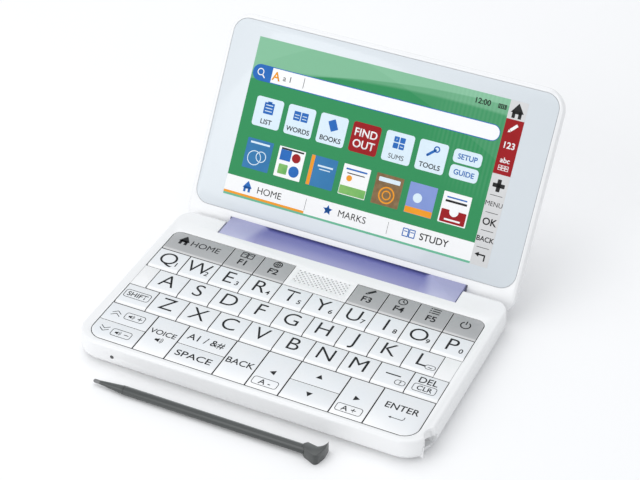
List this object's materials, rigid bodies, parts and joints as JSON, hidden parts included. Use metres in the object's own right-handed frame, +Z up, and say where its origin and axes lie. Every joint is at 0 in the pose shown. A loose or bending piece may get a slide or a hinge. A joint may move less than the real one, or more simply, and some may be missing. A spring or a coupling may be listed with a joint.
{
  "type": "electronic dictionary",
  "caption": "Pocket clamshell electronic dictionary with a letter keyboard, a touch-screen lid on a full-width hinge spine, and a loose stylus.",
  "frame": {"origin": "on the desk, under the middle of the outline of the open object with its stylus lying in front", "axes": "+X along the key rows to the right, +Y from the front edge to the hinge side, +Z up"},
  "size_m": [0.1512, 0.1636, 0.083],
  "materials": {
    "body_white": "moulded gloss white, clear-coated",
    "key_white": "satin white caps with printed legends",
    "key_grey": "satin grey caps with printed legends",
    "legend_ink": "pad-printed ink",
    "spine_lavender": "pearl lavender lacquer",
    "touch_film": "clear hard-coated film, pale border printed behind",
    "display": "lit liquid crystal display",
    "stylus_grey": "satin moulded dark grey",
    "foot_rubber": "fine matt rubber",
    "mat_rubber": "silicone",
    "board_green": "solder mask",
    "battery_wrap": "foil pouch",
    "speaker_black": "moulded basket",
    "bright_steel": "plated",
    "dark_lens": "smoked"
  },
  "bodies": {
    "base": {"base_top": "body_white", "base_bottom": "body_white", "key_mat": "mat_rubber", "main_board": "board_green", "battery_pack": "battery_wrap", "speaker": "speaker_black", "case_screws": "bright_steel", "rubber_feet": "foot_rubber", "indicator_lens": "dark_lens", "hinge_pins": "bright_steel"},
    "lid": {"hinge_spine": "spine_lavender", "lid_front": "body_white", "lid_back": "body_white", "touch_panel": "touch_film", "display_panel": "display"},
    "stylus": {"stylus": "stylus_grey"},
    "volume_key": {"volume_key": "key_white"},
    "space_key": {"space_key": "key_white"},
    "up_down_key": {"up_down_key": "key_white"},
    "home_key": {"home_key": "key_grey"},
    "mode_key_1": {"mode_key_1": "key_grey"},
    "mode_key_2": {"mode_key_2": "key_grey"},
    "mode_key_3": {"mode_key_3": "key_grey"},
    "mode_key_4": {"mode_key_4": "key_grey"},
    "mode_key_5": {"mode_key_5": "key_grey"},
    "power_key": {"power_key": "key_grey"},
    "key_q": {"key_q": "key_white"},
    "key_w": {"key_w": "key_white"},
    "key_e": {"key_e": "key_white"},
    "key_r": {"key_r": "key_white"},
    "key_t": {"key_t": "key_white"},
    "key_y": {"key_y": "key_white"},
    "key_u": {"key_u": "key_white"},
    "key_i": {"key_i": "key_white"},
    "key_o": {"key_o": "key_white"},
    "key_p": {"key_p": "key_white"},
    "key_a": {"key_a": "key_white"},
    "key_s": {"key_s": "key_white"},
    "key_d": {"key_d": "key_white"},
    "key_f": {"key_f": "key_white"},
    "key_g": {"key_g": "key_white"},
    "key_h": {"key_h": "key_white"},
    "key_j": {"key_j": "key_white"},
    "key_k": {"key_k": "key_white"},
    "key_l": {"key_l": "key_white"},
    "shift_key": {"shift_key": "key_white"},
    "key_z": {"key_z": "key_white"},
    "key_x": {"key_x": "key_white"},
    "key_c": {"key_c": "key_white"},
    "key_v": {"key_v": "key_white"},
    "key_b": {"key_b": "key_white"},
    "key_n": {"key_n": "key_white"},
    "key_m": {"key_m": "key_white"},
    "dash_key": {"dash_key": "key_white"},
    "delete_key": {"delete_key": "key_white"},
    "voice_key": {"voice_key": "key_white"},
    "back_key": {"back_key": "key_white"},
    "left_key": {"left_key": "key_white"},
    "right_key": {"right_key": "key_white"},
    "enter_key": {"enter_key": "key_white"}
  },
  "joints": [
    {"name": "lid_hinge", "type": "hinge", "parent": "base", "child": "lid", "pos_m": [0, 0.02468, 0.0079], "axis": [-1, 0, 0], "range_deg": [-122.7, 13.3]},
    {"name": "stylus_lift", "type": "slide", "parent": "base", "child": "stylus", "axis": [0, 0, 1], "range_m": [0, 0.03]},
    {"name": "volume_key_rock", "type": "hinge", "parent": "base", "child": "volume_key", "pos_m": [-0.05992, -0.05315, 0.0093], "axis": [1, 0, 0], "range_deg": [-1.45, 1.45], "stiffness_Nm_per_rad": 0.4},
    {"name": "space_key_rock", "type": "hinge", "parent": "base", "child": "space_key", "pos_m": [-0.02467, -0.05315, 0.0093], "axis": [1, 0, 0], "range_deg": [-1.45, 1.45], "stiffness_Nm_per_rad": 0.4},
    {"name": "up_down_key_rock", "type": "hinge", "parent": "base", "child": "up_down_key", "pos_m": [0.02467, -0.05315, 0.0093], "axis": [1, 0, 0], "range_deg": [-1.45, 1.45], "stiffness_Nm_per_rad": 0.4},
    {"name": "home_key_press", "type": "slide", "parent": "base", "child": "home_key", "axis": [0, 0, -1], "range_m": [0, 0.0008], "stiffness_N_per_m": 300},
    {"name": "mode_key_1_press", "type": "slide", "parent": "base", "child": "mode_key_1", "axis": [0, 0, -1], "range_m": [0, 0.0008], "stiffness_N_per_m": 300},
    {"name": "mode_key_2_press", "type": "slide", "parent": "base", "child": "mode_key_2", "axis": [0, 0, -1], "range_m": [0, 0.0008], "stiffness_N_per_m": 300},
    {"name": "mode_key_3_press", "type": "slide", "parent": "base", "child": "mode_key_3", "axis": [0, 0, -1], "range_m": [0, 0.0008], "stiffness_N_per_m": 300},
    {"name": "mode_key_4_press", "type": "slide", "parent": "base", "child": "mode_key_4", "axis": [0, 0, -1], "range_m": [0, 0.0008], "stiffness_N_per_m": 300},
    {"name": "mode_key_5_press", "type": "slide", "parent": "base", "child": "mode_key_5", "axis": [0, 0, -1], "range_m": [0, 0.0008], "stiffness_N_per_m": 300},
    {"name": "power_key_press", "type": "slide", "parent": "base", "child": "power_key", "axis": [0, 0, -1], "range_m": [0, 0.0008], "stiffness_N_per_m": 300},
    {"name": "key_q_press", "type": "slide", "parent": "base", "child": "key_q", "axis": [0, 0, -1], "range_m": [0, 0.0008], "stiffness_N_per_m": 300},
    {"name": "key_w_press", "type": "slide", "parent": "base", "child": "key_w", "axis": [0, 0, -1], "range_m": [0, 0.0008], "stiffness_N_per_m": 300},
    {"name": "key_e_press", "type": "slide", "parent": "base", "child": "key_e", "axis": [0, 0, -1], "range_m": [0, 0.0008], "stiffness_N_per_m": 300},
    {"name": "key_r_press", "type": "slide", "parent": "base", "child": "key_r", "axis": [0, 0, -1], "range_m": [0, 0.0008], "stiffness_N_per_m": 300},
    {"name": "key_t_press", "type": "slide", "parent": "base", "child": "key_t", "axis": [0, 0, -1], "range_m": [0, 0.0008], "stiffness_N_per_m": 300},
    {"name": "key_y_press", "type": "slide", "parent": "base", "child": "key_y", "axis": [0, 0, -1], "range_m": [0, 0.0008], "stiffness_N_per_m": 300},
    {"name": "key_u_press", "type": "slide", "parent": "base", "child": "key_u", "axis": [0, 0, -1], "range_m": [0, 0.0008], "stiffness_N_per_m": 300},
    {"name": "key_i_press", "type": "slide", "parent": "base", "child": "key_i", "axis": [0, 0, -1], "range_m": [0, 0.0008], "stiffness_N_per_m": 300},
    {"name": "key_o_press", "type": "slide", "parent": "base", "child": "key_o", "axis": [0, 0, -1], "range_m": [0, 0.0008], "stiffness_N_per_m": 300},
    {"name": "key_p_press", "type": "slide", "parent": "base", "child": "key_p", "axis": [0, 0, -1], "range_m": [0, 0.0008], "stiffness_N_per_m": 300},
    {"name": "key_a_press", "type": "slide", "parent": "base", "child": "key_a", "axis": [0, 0, -1], "range_m": [0, 0.0008], "stiffness_N_per_m": 300},
    {"name": "key_s_press", "type": "slide", "parent": "base", "child": "key_s", "axis": [0, 0, -1], "range_m": [0, 0.0008], "stiffness_N_per_m": 300},
    {"name": "key_d_press", "type": "slide", "parent": "base", "child": "key_d", "axis": [0, 0, -1], "range_m": [0, 0.0008], "stiffness_N_per_m": 300},
    {"name": "key_f_press", "type": "slide", "parent": "base", "child": "key_f", "axis": [0, 0, -1], "range_m": [0, 0.0008], "stiffness_N_per_m": 300},
    {"name": "key_g_press", "type": "slide", "parent": "base", "child": "key_g", "axis": [0, 0, -1], "range_m": [0, 0.0008], "stiffness_N_per_m": 300},
    {"name": "key_h_press", "type": "slide", "parent": "base", "child": "key_h", "axis": [0, 0, -1], "range_m": [0, 0.0008], "stiffness_N_per_m": 300},
    {"name": "key_j_press", "type": "slide", "parent": "base", "child": "key_j", "axis": [0, 0, -1], "range_m": [0, 0.0008], "stiffness_N_per_m": 300},
    {"name": "key_k_press", "type": "slide", "parent": "base", "child": "key_k", "axis": [0, 0, -1], "range_m": [0, 0.0008], "stiffness_N_per_m": 300},
    {"name": "key_l_press", "type": "slide", "parent": "base", "child": "key_l", "axis": [0, 0, -1], "range_m": [0, 0.0008], "stiffness_N_per_m": 300},
    {"name": "shift_key_press", "type": "slide", "parent": "base", "child": "shift_key", "axis": [0, 0, -1], "range_m": [0, 0.0008], "stiffness_N_per_m": 300},
    {"name": "key_z_press", "type": "slide", "parent": "base", "child": "key_z", "axis": [0, 0, -1], "range_m": [0, 0.0008], "stiffness_N_per_m": 300},
    {"name": "key_x_press", "type": "slide", "parent": "base", "child": "key_x", "axis": [0, 0, -1], "range_m": [0, 0.0008], "stiffness_N_per_m": 300},
    {"name": "key_c_press", "type": "slide", "parent": "base", "child": "key_c", "axis": [0, 0, -1], "range_m": [0, 0.0008], "stiffness_N_per_m": 300},
    {"name": "key_v_press", "type": "slide", "parent": "base", "child": "key_v", "axis": [0, 0, -1], "range_m": [0, 0.0008], "stiffness_N_per_m": 300},
    {"name": "key_b_press", "type": "slide", "parent": "base", "child": "key_b", "axis": [0, 0, -1], "range_m": [0, 0.0008], "stiffness_N_per_m": 300},
    {"name": "key_n_press", "type": "slide", "parent": "base", "child": "key_n", "axis": [0, 0, -1], "range_m": [0, 0.0008], "stiffness_N_per_m": 300},
    {"name": "key_m_press", "type": "slide", "parent": "base", "child": "key_m", "axis": [0, 0, -1], "range_m": [0, 0.0008], "stiffness_N_per_m": 300},
    {"name": "dash_key_press", "type": "slide", "parent": "base", "child": "dash_key", "axis": [0, 0, -1], "range_m": [0, 0.0008], "stiffness_N_per_m": 300},
    {"name": "delete_key_press", "type": "slide", "parent": "base", "child": "delete_key", "axis": [0, 0, -1], "range_m": [0, 0.0008], "stiffness_N_per_m": 300},
    {"name": "voice_key_press", "type": "slide", "parent": "base", "child": "voice_key", "axis": [0, 0, -1], "range_m": [0, 0.0008], "stiffness_N_per_m": 300},
    {"name": "back_key_press", "type": "slide", "parent": "base", "child": "back_key", "axis": [0, 0, -1], "range_m": [0, 0.0008], "stiffness_N_per_m": 300},
    {"name": "left_key_press", "type": "slide", "parent": "base", "child": "left_key", "axis": [0, 0, -1], "range_m": [0, 0.0008], "stiffness_N_per_m": 300},
    {"name": "right_key_press", "type": "slide", "parent": "base", "child": "right_key", "axis": [0, 0, -1], "range_m": [0, 0.0008], "stiffness_N_per_m": 300},
    {"name": "enter_key_press", "type": "slide", "parent": "base", "child": "enter_key", "axis": [0, 0, -1], "range_m": [0, 0.0008], "stiffness_N_per_m": 300}
  ]
}
